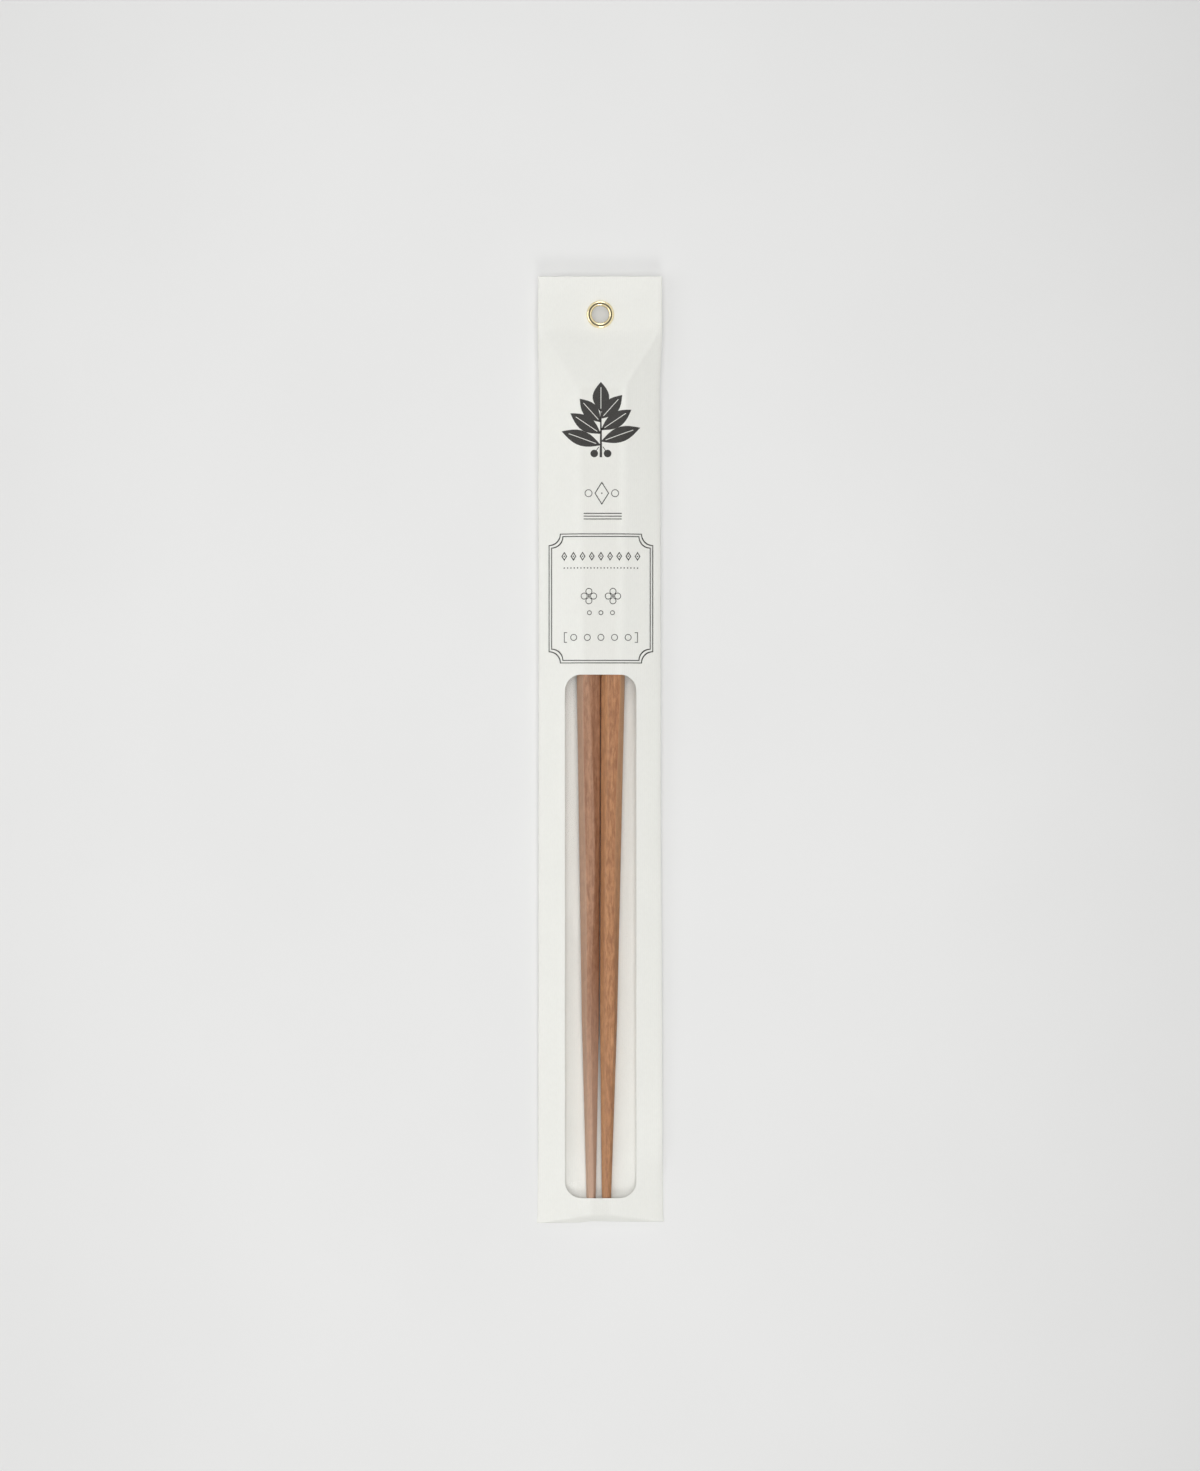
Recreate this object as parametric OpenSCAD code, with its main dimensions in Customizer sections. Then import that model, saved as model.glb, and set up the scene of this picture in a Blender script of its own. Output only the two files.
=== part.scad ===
// A pair of wooden chopsticks in a paper sleeve with a window and an eyelet.
// The pack lies on its back: +Z up, +Y towards the eyelet, the origin under
// the middle of the sleeve. Lengths are in millimetres.

/* [Chopsticks] */
// Length of a stick from butt to tip
stick_len = 235; // [200:1:260]
// Thickness of a stick at its butt
stick_butt_w = 8.4; // [7:0.1:10]
// Thickness where the steeper taper to the tip begins
stick_waist_w = 4.9; // [3.6:0.1:6.5]
// Thickness at the tip
stick_tip_w = 2.4; // [1.8:0.1:3.4]
// Length of the steeper taper
stick_point_len = 55.5; // [35:0.5:80]
// Share of the thickness that each shaved corner takes
shave_share = 0.29; // [0.22:0.01:0.34]
// How far the shaved corners wander, as a share of the thickness
shave_wander = 0.11; // [0:0.01:0.13]
// Length of one wave of that wander
shave_wave = 104; // [60:1:160]
// Gap between the two butts
butt_gap = 0.1; // [0.05:0.05:0.6]
// How much wider the gap is at the tips, tapers aside
tip_spread = 0.6; // [0:0.1:1.5]
// Sideways lean of the pair over its whole length
pair_lean = 0.9; // [0:0.1:1.5]

/* [Paper] */
// Thickness of the paper
paper_t = 0.25; // [0.15:0.01:0.35]
// Paper between the butts and each side fold, laid flat
side_room = 9.7; // [8:0.1:14]
// Room between the tips and the bottom fold
tip_room = 2.6; // [2.2:0.1:8]
// Length of the slope from the butts to the flat header
shoulder_len = 16.6; // [12:0.1:25]
// Radius over which the front bends at the sticks' outer sides
bend_r = 2.6; // [1:0.1:3.5]
// Width of the glued lap along the back
lap_w = 11; // [8:0.5:12]
// Length of the flap that closes the bottom
flap_len = 11.5; // [8:0.5:16]
// How far the bottom fold draws in over the tips
bottom_arch = 1.2; // [0:0.1:1.8]

/* [Window] */
// Width of the window
window_w = 20.3; // [16:0.1:24]
// Radius of the window's corners
window_r = 4.6; // [2:0.1:7]
// Paper left below the window
window_foot = 7.3; // [6:0.1:14]
// Thickness of the clear film
film_t = 0.08; // [0.04:0.01:0.12]
// Width of the film's glued margin
film_margin = 3; // [2:0.1:4]

/* [Eyelet] */
// Diameter of the eyelet's hole
eyelet_bore_d = 4.8; // [3.5:0.1:5.2]
// Diameter of the eyelet's flange
eyelet_flange_d = 7.9; // [7.2:0.1:9]
// Diameter of the rolled rim behind
eyelet_rim_d = 7.3; // [6.8:0.1:8]
// Thickness of the brass
brass_t = 0.28; // [0.2:0.01:0.35]
// From the top edge to the eyelet's centre
eyelet_edge = 11.4; // [8:0.1:16]

/* [Print] */
// Thickness of the ink
ink_t = 0.04; // [0.02:0.01:0.06]
// From the top edge to the top of the sprig
sprig_from_top = 30.6; // [28:0.1:36]
// Width of the sprig
sprig_w = 23.7; // [16:0.1:25]
// Height of the sprig
sprig_h = 21.6; // [16:0.1:25]
// Width of the small ornament below the sprig
medal_w = 9.9; // [6:0.1:13]
// Height of that ornament
medal_h = 6.6; // [4:0.1:8]
// Length of the three rules
rule_len = 10.8; // [6:0.1:16]
// Distance between two rules
rule_pitch = 0.8; // [0.5:0.05:1.5]
// Thickness of a rule and of the frame's lines
line_t = 0.25; // [0.15:0.01:0.35]
// Thickness of the lines in the small ornaments
fine_t = 0.2; // [0.12:0.01:0.3]
// Width of the label's frame
frame_w = 29.7; // [24:0.1:31]
// Height of the label's frame
frame_h = 36.8; // [30:0.1:42]
// Radius of the frame's scooped corners
frame_r = 3.2; // [2:0.1:4]
// Distance between the frame's two lines
frame_pitch = 0.72; // [0.5:0.01:1]
// Number of lozenges in the label's top row
lozenges = 9; // [5:1:13]
// Number of dots in the line below it
dots = 23; // [11:1:31]
// Number of rings in the label's bottom row
rings = 5; // [3:1:7]

/* [Hidden] */

paper_colour = [0.92, 0.92, 0.90];
film_colour = [0.95, 0.97, 0.98, 0.25];
brass_colour = [0.80, 0.66, 0.38];
wood_colour = [0.67, 0.48, 0.36];
ink_colour = [0.24, 0.23, 0.22];

// Clearances: sticks to paper, film to its neighbours, ink to paper
seat_gap = 0.02;
film_gap = 0.02;
stick_slack = 0.15;
ink_gap = 0.01;
// Half the thickness of a pressed side fold
fold_e = 0.2;
// Paper flat beside a closed end, up to the fold's own bend
fold_bend = 1;
// Width over which the edge of a glued layer steps down
edge = 0.2;
// From the bottom flap's end to where the sides begin to stand up
flare_gap = 0.6;
// Paper between the eyelet's flange and the start of the shoulder
eyelet_margin = 0.45;
// Spaces between the printed items, from the top down
medal_gap = 6.9;
rules_gap = 2.4;
frame_gap = 4.1;
window_gap = 3.2;
// The press set the print a little to the right, and the rules more so
print_shift = 0.17;
rules_shift = 0.5;

// Stations along the pack, from the bottom fold up
header_len = eyelet_edge + eyelet_flange_d / 2 + eyelet_margin;
sleeve_len = tip_room + stick_len + shoulder_len + header_len;
bottom_y = -sleeve_len / 2;
top_y = sleeve_len / 2;
tip_y = bottom_y + tip_room;
waist_y = tip_y + stick_point_len;
butt_y = tip_y + stick_len;
header_y = top_y - header_len;
toe_y = tip_y - 0.2;
flap_end_y = bottom_y + flap_len;
flare_y = flap_end_y + flare_gap;
flare_end_y = flare_y + 8;
shoulder_y = butt_y + 0.6;
eyelet_y = top_y - eyelet_edge;
header_flap_y = header_y + fold_bend;

// Heights: the lap, the back and the header's two middle layers
back_z = paper_t;
stick_z = back_z + paper_t + seat_gap;
header_z = stick_z + stick_butt_w / 2;
// Half the width of the sheet laid flat
flat_half = stick_butt_w + butt_gap / 2 + side_room;

sprig_y = top_y - sprig_from_top - sprig_h / 2;
medal_y = sprig_y - sprig_h / 2 - medal_gap - medal_h / 2;
rules_y = medal_y - medal_h / 2 - rules_gap;
frame_y = rules_y - 2 * rule_pitch - frame_gap - frame_h / 2;
window_top_y = frame_y - frame_h / 2 - window_gap;
window_bottom_y = bottom_y + window_foot;
window_y = (window_top_y + window_bottom_y) / 2;
window_len = window_top_y - window_bottom_y;

function mix(u, v, k) = u + (v - u) * k;
function ramp(lo, hi, v) = min(1, max(0, (v - lo) / (hi - lo)));
function steps(lo, hi, n) = [for (k = [1:n]) mix(lo, hi, k / n)];

// Thickness of a stick at y, and of its gentle taper carried on to the tip
function gentle_w(y) =
    mix(stick_butt_w, stick_waist_w, (butt_y - y) / (butt_y - waist_y));
function stick_w(y) =
    y > waist_y ? gentle_w(min(y, butt_y))
                : mix(stick_waist_w, stick_tip_w, ramp(waist_y, tip_y, y));
// Middle of the pair, and each stick's distance from it
function pair_x(y) = pair_lean * ((y - tip_y) / stick_len - 0.5);
function axis_off(y) =
    (gentle_w(y) + butt_gap + tip_spread * (butt_y - y) / stick_len) / 2;
function pair_half(y) =
    axis_off(y) + stick_w(y) / 2 + abs(pair_x(y)) / 2 + seat_gap;

// The sleeve's cross-section at y: half width of the flat over the sticks,
// half width of the flat below them, thickness, underside and fold height
function front_flat(y) =
    y >= shoulder_y ? mix(pair_half(butt_y), flat_half - fold_bend,
                          ramp(shoulder_y, header_y, y)) :
    y >= toe_y ? pair_half(min(max(y, tip_y), butt_y)) :
    mix(flat_half - fold_bend, pair_half(tip_y), ramp(bottom_y, toe_y, y));
function back_flat(y) =
    y >= shoulder_y ? front_flat(y) :
    mix(flat_half - 1.5 * fold_bend,
        max(front_flat(y), lap_w / 2 + bend_r / 2 + 4 * edge),
        ramp(flare_y, flare_end_y, y));
function body_h(y) = stick_w(y) + 2 * paper_t + film_t + 2 * film_gap
    + stick_slack;
function sleeve_h(y) =
    y >= shoulder_y ? mix(body_h(butt_y), 2 * paper_t,
                          ramp(shoulder_y, header_y, y)) :
    y >= toe_y ? body_h(min(max(y, tip_y), butt_y)) :
    mix(2.4 * paper_t, body_h(tip_y), ramp(bottom_y, toe_y, y));
function low_z(y) =
    mix(back_z, header_z - paper_t, ramp(shoulder_y, header_y, y));
function high_z(y) = low_z(y) + sleeve_h(y);
function fold_z(y) =
    mix(min(back_z + 1.2 * fold_e, (low_z(y) + high_z(y)) / 2),
        (low_z(y) + high_z(y)) / 2, ramp(flare_y, flare_end_y, y));
// The soft sides bulge, which draws the folds in a little
function side_bow(y) = lookup(y, [[flare_y, 0], [flare_end_y, 0.35],
    [mix(flare_end_y, butt_y, 0.35), 0.2], [mix(flare_end_y, butt_y, 0.8), 0],
    [butt_y, 0], [top_y, 0.3]]);
function fold_x(y) =
    front_flat(y) + sqrt(max(0.01, pow(flat_half - front_flat(y), 2)
    - pow(high_z(y) - fold_z(y) - fold_e, 2))) - side_bow(y);
function bend(y, inset = 0) =
    min(bend_r, 0.8 * (fold_x(y) - inset - front_flat(y)),
        0.8 * front_flat(y));

// Drop of a panel at x: flat up to a - r, a parabola to a + r, then straight
function drop(x, a, r, slope) =
    x < a - r ? 0 :
    x < a + r ? slope * pow(x - a + r, 2) / (4 * r) : slope * (x - a);
function front_z(y, x) = high_z(y) - drop(abs(x), front_flat(y), bend(y),
    (high_z(y) - fold_z(y) - fold_e) / (fold_x(y) - front_flat(y)));
function back_r(y) = min(bend_r / 2, 0.8 * (fold_x(y) - back_flat(y)));
function back_panel_z(y, x) = low_z(y) + drop(abs(x), back_flat(y), back_r(y),
    (fold_z(y) - fold_e - low_z(y)) / (fold_x(y) - back_flat(y)));
function middle_z(y, x) = (front_z(y, x) + back_panel_z(y, x)) / 2;

// A second layer is glued under the back: the lap along its middle, the
// flap that closes the bottom and the flap folded over the header's back
function flap_x(y) = back_flat(y) - back_r(y) - 2 * edge;
function second_layer(y, x) =
    y < flap_end_y + edge / 2 && abs(x) < flap_x(y) + edge / 2
    || y < butt_y + edge / 2 && abs(x) < lap_w / 2 + edge / 2
    || y > header_flap_y - edge / 2 ? paper_t : 0;

// Samples across half the section, the last of them inset from the fold
function half_xs(y, inset) =
    let (a = front_flat(y), r = bend(y, inset))
    concat([for (k = [1:4]) (a - r) * k / 4],
           [for (k = [1:4]) a - r + 2 * r * k / 4],
           steps(a + r, fold_x(y) - inset, 3));
// As many across the underside, with one at each side of a layer's edge
function half_under_xs(y) =
    let (a = back_flat(y), r = back_r(y))
    concat([lap_w / 4, lap_w / 2, lap_w / 2 + edge, flap_x(y),
            flap_x(y) + edge],
           [for (k = [0:4]) a - r + 2 * r * k / 4], [fold_x(y)]);
function both_sides(right) =
    concat([for (k = [len(right) - 1:-1:0]) -right[k]], [0], right);

// The bottom fold draws in where the tips hold the front up
function arch(x) = bottom_arch * (1 - ramp(4.2, 8.4, abs(x)));
function arched_y(y, x) = y + arch(x) * (1 - ramp(bottom_y, toe_y, y));

body_ys = concat(
    [bottom_y], steps(bottom_y, toe_y, 3), steps(toe_y, flap_end_y, 4),
    [flap_end_y + edge, flare_y],
    steps(flare_y, flare_end_y, 3), steps(flare_end_y, waist_y, 3),
    steps(waist_y, butt_y, 8), [butt_y + edge, shoulder_y],
    steps(shoulder_y, header_y, 6),
    [header_flap_y - edge, header_flap_y, eyelet_y, top_y]);
cavity_lo = bottom_y + 3 * paper_t;
cavity_hi = header_y - 4 * paper_t;
cavity_half = function(y) half_xs(y, 1.6 * paper_t);
cavity_ys = concat([cavity_lo],
    [for (y = body_ys) if (y > cavity_lo + edge && y < cavity_hi - edge) y],
    [cavity_hi]);

// Solid between two surfaces, given as functions of y and x, with the
// samples across half of each
module slab(ys, upper, lower, upper_half, lower_half) {
    nx = 2 * len(upper_half(0)) + 1;
    ny = len(ys);
    half = nx * ny;
    points = [for (face = [[upper, upper_half], [lower, lower_half]])
        for (y = ys) let (face_z = face[0], face_half = face[1])
            for (x = both_sides(face_half(y)))
                [x, arched_y(y, x), face_z(y, x)]];
    skin = [for (i = [0:ny - 2]) for (j = [0:nx - 2])
        let (p = i * nx + j, q = p + nx)
        each [[p, q, q + 1], [p, q + 1, p + 1],
              [half + p, half + q + 1, half + q],
              [half + p, half + p + 1, half + q + 1]]];
    sides = [for (i = [0:ny - 2])
        let (p = i * nx, q = p + nx, s = q - 1, t = s + nx)
        each [[q, p, half + p, half + q], [s, t, half + t, half + s]]];
    ends = [for (j = [0:nx - 2])
        let (q = (ny - 1) * nx + j)
        each [[j, j + 1, half + j + 1, half + j],
              [q + 1, q, half + q, half + q + 1]]];
    polyhedron(points = points, faces = concat(skin, sides, ends));
}

module shell_outside() {
    slab(body_ys, function(y, x) front_z(y, x),
         function(y, x) back_panel_z(y, x) - second_layer(y, x),
         function(y) half_xs(y, 0), function(y) half_under_xs(y));
}

// The hollow stays open by a slit where the two layers meet
module shell_inside() {
    slit = fold_e / 3;
    slab(cavity_ys,
         function(y, x) max(front_z(y, x) - paper_t, middle_z(y, x) + slit),
         function(y, x) min(back_panel_z(y, x) + paper_t,
                            middle_z(y, x) - slit),
         cavity_half, cavity_half);
}

module window_outline() {
    translate([print_shift / 2, window_y])
        offset(r = window_r, $fn = 44)
            square([window_w - 2 * window_r, window_len - 2 * window_r],
                   center = true);
}

module window_cut() {
    translate([0, 0, front_z(window_bottom_y, window_w / 2) - 2 * paper_t])
        linear_extrude(2 * stick_butt_w) window_outline();
}

module sleeve() {
    color(paper_colour) difference() {
        shell_outside();
        shell_inside();
        window_cut();
        translate([0, eyelet_y, 0])
            cylinder(r = eyelet_bore_d / 2 + brass_t + seat_gap,
                     h = 2 * header_z, $fn = 64);
    }
}

module window_film() {
    color(film_colour) intersection() {
        slab(cavity_ys,
             function(y, x) front_z(y, x) - paper_t - film_gap,
             function(y, x) front_z(y, x) - paper_t - film_gap - film_t,
             cavity_half, cavity_half);
        linear_extrude(4 * stick_butt_w)
            translate([print_shift / 2, window_y])
                square([window_w + 2 * film_margin,
                        window_len + 2 * film_margin], center = true);
    }
}

// One curled edge of the eyelet: an arched band from the bore outwards
module curl(outer_d) {
    r = (outer_d - eyelet_bore_d) / 4;
    translate([outer_d / 2 - r, 0]) intersection() {
        difference() {
            circle(r = r, $fn = 48);
            circle(r = r - brass_t, $fn = 48);
        }
        translate([-outer_d, 0]) square([2 * outer_d, outer_d]);
    }
}

module eyelet() {
    stack_top = header_z + paper_t + seat_gap;
    stack_bottom = header_z - 2 * paper_t - seat_gap;
    color(brass_colour) translate([0, eyelet_y, 0])
        rotate_extrude($fn = 96) {
            translate([0, stack_top]) curl(eyelet_flange_d);
            translate([0, stack_bottom]) mirror([0, 1]) curl(eyelet_rim_d);
            translate([eyelet_bore_d / 2, stack_bottom])
                square([brass_t, stack_top - stack_bottom]);
        }
}

// Shares of the shaved corners on top: the left one wanders, the right one
// is a little narrower and wanders less, half a wave later
function shave_left(y, side) =
    shave_share + side * shave_wander / 3 * cos(360 * y / shave_wave);
function shave_right(y, side) =
    side < 0 ? shave_share + 0.06 + shave_wander
                   * cos(360 * (y - top_y / 6) / shave_wave)
             : shave_share - 0.05 + shave_wander / 2
                   * cos(360 * (y - tip_y) / shave_wave);

// Eight corners of a stick at y, scaled by k about the section's middle
function stick_ring(y, side, k) =
    let (w = stick_w(y), c = shave_share * w, x0 = pair_x(y)
         + side * axis_off(y), l = shave_left(y, side) * w,
         r = shave_right(y, side) * w)
    [for (p = [[-w / 2, c], [-w / 2, w - c], [l - w / 2, w],
               [w / 2 - r, w], [w / 2, w - c], [w / 2, c],
               [w / 2 - c, 0], [c - w / 2, 0]])
        [x0 + k * p[0], y, stick_z + w / 2 + k * (p[1] - w / 2)]];

module chopstick(side) {
    ease = 0.5;
    ys = concat([tip_y], steps(tip_y + ease, waist_y, 6),
                steps(waist_y, butt_y - ease, 18), [butt_y]);
    rings_n = len(ys);
    points = [for (i = [0:rings_n - 1]) each stick_ring(ys[i], side,
        i == 0 ? 0.72 : i == rings_n - 1 ? 0.93 : 1)];
    walls = [for (i = [0:rings_n - 2]) for (j = [0:7])
        let (p = 8 * i + j, q = 8 * i + (j + 1) % 8)
        each [[p, q + 8, q], [p, p + 8, q + 8]]];
    first = [for (j = [0:7]) j];
    last = [for (j = [7:-1:0]) 8 * (rings_n - 1) + j];
    color(wood_colour)
        polyhedron(points = points, faces = concat(walls, [first, last]));
}

module chopstick_left() {
    chopstick(-1);
}

module chopstick_right() {
    chopstick(1);
}

module lozenge(w, h) {
    polygon([[-w / 2, 0], [0, -h / 2], [w / 2, 0], [0, h / 2]]);
}

// A lozenge drawn in line, with a dot in its middle
module open_lozenge(w, h) {
    difference() {
        lozenge(w, h);
        lozenge(w - 3 * fine_t, h - 3 * fine_t * h / w);
    }
    circle(r = fine_t, $fn = 10);
}

module ring(r) {
    difference() {
        circle(r = r, $fn = 18);
        circle(r = r - fine_t, $fn = 18);
    }
}

// A rectangle with scooped corners
module scooped(w, h, r) {
    difference() {
        square([w, h], center = true);
        for (i = [-1, 1], j = [-1, 1])
            translate([i * w / 2, j * h / 2]) circle(r = r, $fn = 36);
    }
}

module scooped_line(inset) {
    difference() {
        scooped(frame_w - 2 * inset, frame_h - 2 * inset, frame_r);
        scooped(frame_w - 2 * inset - 2 * line_t,
                frame_h - 2 * inset - 2 * line_t, frame_r);
    }
}

// Four petals drawn in line round a dot
module flower(r) {
    for (k = [0:3]) rotate(90 * k) translate([0.56 * r, 0]) ring(0.4 * r);
    circle(r = 0.12 * r, $fn = 12);
}

// A row of n copies spread evenly over a length
module row(n, length) {
    for (k = [0:n - 1])
        translate([length * (k / (n - 1) - 0.5), 0]) children();
}

module label() {
    row_w = 0.7 * frame_w;
    top = frame_h / 2;
    bracket_h = 0.08 * frame_h;
    scooped_line(0);
    scooped_line(frame_pitch);
    translate([0, top - 0.175 * frame_h])
        row(lozenges, row_w) open_lozenge(0.055 * frame_w, 0.07 * frame_h);
    translate([0, top - 0.265 * frame_h])
        row(dots, row_w) circle(r = fine_t, $fn = 8);
    translate([0, top - 0.482 * frame_h])
        row(2, 0.23 * frame_w) flower(0.065 * frame_h);
    translate([0, top - 0.61 * frame_h])
        row(3, 0.22 * frame_w) ring(0.018 * frame_h);
    translate([0, top - 0.8 * frame_h]) {
        row(rings, 0.52 * frame_w) ring(0.026 * frame_h);
        for (i = [-1, 1]) translate([i * row_w / 2, 0]) {
            square([fine_t, bracket_h], center = true);
            for (j = [-1, 1])
                translate([-i * 0.4, j * (bracket_h - fine_t) / 2])
                    square([0.8, fine_t], center = true);
        }
    }
}

// A pointed leaf along +X with a pale rib
module leaf(length, width) {
    n = 9;
    difference() {
        polygon(concat(
            [for (k = [0:n]) [length * k / n,
                width / 2 * sin(180 * k / n)]],
            [for (k = [n - 1:-1:1]) [length * k / n,
                -width / 2 * sin(180 * k / n)]]));
        translate([0.12 * length, -fine_t / 2])
            square([0.7 * length, fine_t]);
    }
}

// An upright leafy sprig: pairs of leaves on a stem, one leaf at its top and
// two berries at its foot
module sprig() {
    stem = 0.6 * sprig_h;
    long = 0.5 * sprig_w;
    translate([0, -sprig_h / 2]) {
        polygon([[-0.35, 0], [0.35, 0], [0.15, stem], [-0.15, stem]]);
        translate([0, stem * 0.98]) rotate(90)
            leaf(sprig_h - stem, 0.4 * long);
        for (k = [0:2], i = [-1, 1])
            translate([0, stem * (0.26 + 0.25 * k + (i > 0 ? 0.08 : 0))])
                mirror([i > 0 ? 0 : 1, 0]) rotate(20 + 14 * k)
                    leaf(long * (1 - 0.12 * k), 0.36 * long);
        for (i = [-1, 1]) translate([i * 0.16 * long, stem * 0.08]) {
            circle(r = 0.09 * long, $fn = 20);
            rotate(i * 35) translate([-fine_t / 2, 0])
                square([fine_t, stem * 0.18]);
        }
    }
}

module medal() {
    open_lozenge(0.42 * medal_w, medal_h);
    for (i = [-1, 1]) translate([0.38 * medal_w * i, 0])
        ring(0.11 * medal_w);
}

module print_outline() {
    translate([print_shift, 0]) {
        translate([0, sprig_y]) sprig();
        translate([rules_shift / 2, medal_y]) medal();
        for (k = [0:2])
            translate([rules_shift, rules_y - k * rule_pitch])
                square([rule_len, line_t], center = true);
        translate([0, frame_y]) label();
    }
}

module printed_ink() {
    color(ink_colour) intersection() {
        slab([for (y = body_ys) if (y > 0) y],
             function(y, x) front_z(y, x) + ink_gap + ink_t,
             function(y, x) front_z(y, x) + ink_gap,
             function(y) half_xs(y, 0), function(y) half_xs(y, 0));
        linear_extrude(4 * stick_butt_w) print_outline();
    }
}

sleeve();
window_film();
eyelet();
chopstick_left();
chopstick_right();
printed_ink();
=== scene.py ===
import bpy
import numpy as np
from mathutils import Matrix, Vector


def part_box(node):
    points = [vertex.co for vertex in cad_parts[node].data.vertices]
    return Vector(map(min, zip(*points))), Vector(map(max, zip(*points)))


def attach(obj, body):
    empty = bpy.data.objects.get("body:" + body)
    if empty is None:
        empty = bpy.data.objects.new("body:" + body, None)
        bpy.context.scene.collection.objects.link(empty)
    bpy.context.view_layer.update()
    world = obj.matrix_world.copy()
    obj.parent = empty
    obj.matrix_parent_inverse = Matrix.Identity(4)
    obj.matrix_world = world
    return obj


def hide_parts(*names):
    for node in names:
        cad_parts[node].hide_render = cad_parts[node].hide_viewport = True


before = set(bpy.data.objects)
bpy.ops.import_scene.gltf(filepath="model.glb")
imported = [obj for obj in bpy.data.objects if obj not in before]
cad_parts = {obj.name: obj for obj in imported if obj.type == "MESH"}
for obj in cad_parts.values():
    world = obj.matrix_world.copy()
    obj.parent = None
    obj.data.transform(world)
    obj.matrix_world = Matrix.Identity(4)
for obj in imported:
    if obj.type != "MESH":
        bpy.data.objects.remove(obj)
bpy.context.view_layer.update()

# Shapes are worked out in millimetres and put into the meshes in metres.
MM = 0.001


def box_mm(node):
    """Lowest and highest corner of a CAD node, in millimetres."""
    low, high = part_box(node)
    return np.array(low) / MM, np.array(high) / MM


# Sticks
STICK_BUTT_W = 8.4
STICK_WAIST_W = 4.9
STICK_TIP_W = 2.4
STICK_POINT_LEN = 55.5
SHAVE_SHARE = 0.29
SHAVE_WANDER = 0.11
SHAVE_WAVE = 104
BUTT_GAP = 0.1
TIP_SPREAD = 0.4
PAIR_LEAN = 0.9

# Paper, film and the clearances between them
PAPER_T = 0.25
SIDE_ROOM = 9.7
BEND_R = 2.6
LAP_W = 11
FLAP_LEN = 11.5
BOTTOM_ARCH = 0.45
FILM_T = 0.08
FILM_GAP = 0.02
FILM_MARGIN = 3
SEAT_GAP = 0.02
STICK_SLACK = 0.15
FOLD_E = 0.2
FOLD_BEND = 1
INK_GAP = 0.01
INK_T = 0.04
WINDOW_R = 4.6
EYELET_BORE_D = 4.8
EYELET_RIM_D = 7.3
EYELET_ROUND = 2.5
BRASS_T = 0.28
HOLE_R = EYELET_BORE_D / 2 + BRASS_T + SEAT_GAP

# Stations along the pack and across it, read off the frame
sleeve_low, sleeve_high = box_mm("sleeve")
stick_low, stick_high = box_mm("chopstick_left")
film_low, film_high = box_mm("window_film")
eyelet_low, eyelet_high = box_mm("eyelet")
BOTTOM_Y = sleeve_low[1]
TOP_Y = sleeve_high[1]
TIP_Y = stick_low[1]
BUTT_Y = stick_high[1]
WAIST_Y = TIP_Y + STICK_POINT_LEN
TOE_Y = TIP_Y - 0.2
FLAP_END_Y = BOTTOM_Y + FLAP_LEN
FLARE_Y = FLAP_END_Y + 0.6
FLARE_END_Y = FLARE_Y + 8
SHOULDER_Y = BUTT_Y + 0.6
EYELET_Y = (eyelet_low[1] + eyelet_high[1]) / 2
EYELET_FLANGE_D = eyelet_high[0] - eyelet_low[0]
HEADER_Y = EYELET_Y - EYELET_FLANGE_D / 2 - 0.45
WINDOW_LEFT = film_low[0] + FILM_MARGIN
WINDOW_RIGHT = film_high[0] - FILM_MARGIN
WINDOW_BOTTOM = film_low[1] + FILM_MARGIN
WINDOW_TOP = film_high[1] - FILM_MARGIN
BACK_Z = PAPER_T
STICK_Z = BACK_Z + PAPER_T + SEAT_GAP
HEADER_Z = STICK_Z + STICK_BUTT_W / 2
FLAT_HALF = STICK_BUTT_W + BUTT_GAP / 2 + SIDE_ROOM
STICK_LEN = BUTT_Y - TIP_Y

# Softness of the creases round the shoulder and over the tips
CREASE_R = 1.3
TOE_R = 0.5
# How far a pressed fold's nose reaches in from the edge
NOSE = 0.3
NOSE_STEPS = 5
# Columns outside this half width follow the folds, those inside are straight
STRAIGHT_HALF = 13.5
# How far beyond the window's corners and the eyelet's hole the turned rings fade out
WINDOW_FADE = 2.6
HOLE_FADE = 1.4
# The inner skin is drawn in from the folds by this many times the paper's thickness
INNER_IN = 1.3

# How much of a stick's thickness the front's flat leaves off on each side
CORNER_SHARE = 0.16
# How far the header's free end rises and draws in
CURL_UP = 0.7
CURL_IN = 0.6
# How far the right fold draws in, and how far the left one stands out beside the hip
# and draws in at the header
RIGHT_IN = 0.4
LEFT_OUT = 0.3
LEFT_IN = 0.25
# The pressed ridge of the right hip, and the roll of the front over the folds
HIP_RIDGE = 0.19
RIDGE_W = 0.75
ROLL_DEPTH = 0.16
ROLL_W = 1.7
# Half width of the painted shade on the paper over the sticks, at their tips and butts
PAINTED_SHADE_TIP_HALF = 2.6
PAINTED_SHADE_BUTT_HALF = 5.8
# A wave texture's scale for ribs every 0.57 mm
RIB_SCALE = 551


def mix(u, v, k):
    """Straight blend from u to v."""
    return u + (v - u) * k


def ramp(lo, hi, v):
    """0 at lo, 1 at hi, held beyond both."""
    return np.clip((v - lo) / (hi - lo), 0, 1)


def eased(d, r):
    """0 up to -r, a parabola to r, then straight at a slope of one."""
    return np.where(d < -r, 0, np.where(d < r, (d + r) ** 2 / (4 * r), d))


def eased_ramp(lo, hi, v, r):
    """A ramp whose two corners are rounded by the parabola of eased."""
    return (eased(v - lo, r) - eased(v - hi, r)) / (hi - lo)


def gentle_w(y):
    """Thickness of a stick's gentle taper, carried on to the tip."""
    return mix(STICK_BUTT_W, STICK_WAIST_W, (BUTT_Y - y) / (BUTT_Y - WAIST_Y))


def stick_w(y):
    """Thickness of a stick: the gentle taper, then the steeper one."""
    point = mix(STICK_WAIST_W, STICK_TIP_W, np.clip((WAIST_Y - y) / (WAIST_Y - TIP_Y), 0, 1))
    return np.where(y > WAIST_Y, gentle_w(np.minimum(y, BUTT_Y)), point)


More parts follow.
